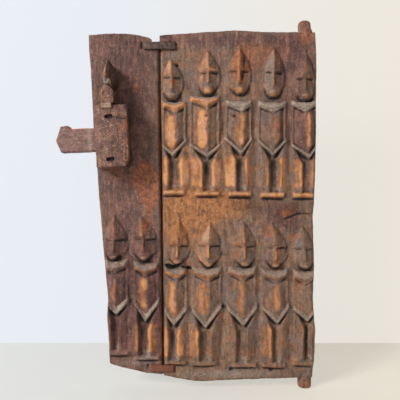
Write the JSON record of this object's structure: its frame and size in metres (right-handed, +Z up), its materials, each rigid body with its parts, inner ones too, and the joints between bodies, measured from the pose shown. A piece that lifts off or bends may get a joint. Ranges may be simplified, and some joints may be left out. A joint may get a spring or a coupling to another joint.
{
  "type": "granary door",
  "caption": "Small carved wooden granary door on pivot pegs: two stapled planks with rows of standing figures and a sliding bolt lock.",
  "frame": {"origin": "centre of the lower pivot peg's end face, on the pivot axis", "axes": "+Z up along the pivot axis; the carved face looks along -Y; the panel reaches from the pivots towards -X"},
  "size_m": [0.4499, 0.0894, 0.651],
  "materials": {
    "board_wood": "worn, oiled by hands, dusty in the recesses",
    "lock_wood": "dark, scratched and polished by handling",
    "bolt_wood": "dark, rubbed",
    "forged_iron": "forged, rusted"
  },
  "bodies": {
    "door": {"right_board": "board_wood", "left_board": "board_wood", "upper_staple": "forged_iron", "lower_staple": "forged_iron", "lock_case": "lock_wood", "upper_nail": "forged_iron", "lower_nail": "forged_iron"},
    "bolt": {"lock_bolt": "bolt_wood"},
    "tumbler_1": {"tumbler_1": "forged_iron"},
    "tumbler_2": {"tumbler_2": "forged_iron"},
    "tumbler_3": {"tumbler_3": "forged_iron"},
    "tumbler_4": {"tumbler_4": "forged_iron"}
  },
  "joints": [
    {"name": "bolt_slide", "type": "slide", "parent": "door", "child": "bolt", "axis": [0.999, 0, 0.0436], "range_m": [0, 0.047]},
    {"name": "tumbler_drop_1", "type": "slide", "parent": "door", "child": "tumbler_1", "axis": [-0.0436, 0, 0.999], "range_m": [-0.009, 0]},
    {"name": "tumbler_drop_2", "type": "slide", "parent": "door", "child": "tumbler_2", "axis": [-0.0436, 0, 0.999], "range_m": [-0.009, 0]},
    {"name": "tumbler_drop_3", "type": "slide", "parent": "door", "child": "tumbler_3", "axis": [-0.0436, 0, 0.999], "range_m": [-0.009, 0]},
    {"name": "tumbler_drop_4", "type": "slide", "parent": "door", "child": "tumbler_4", "axis": [-0.0436, 0, 0.999], "range_m": [-0.009, 0]}
  ]
}
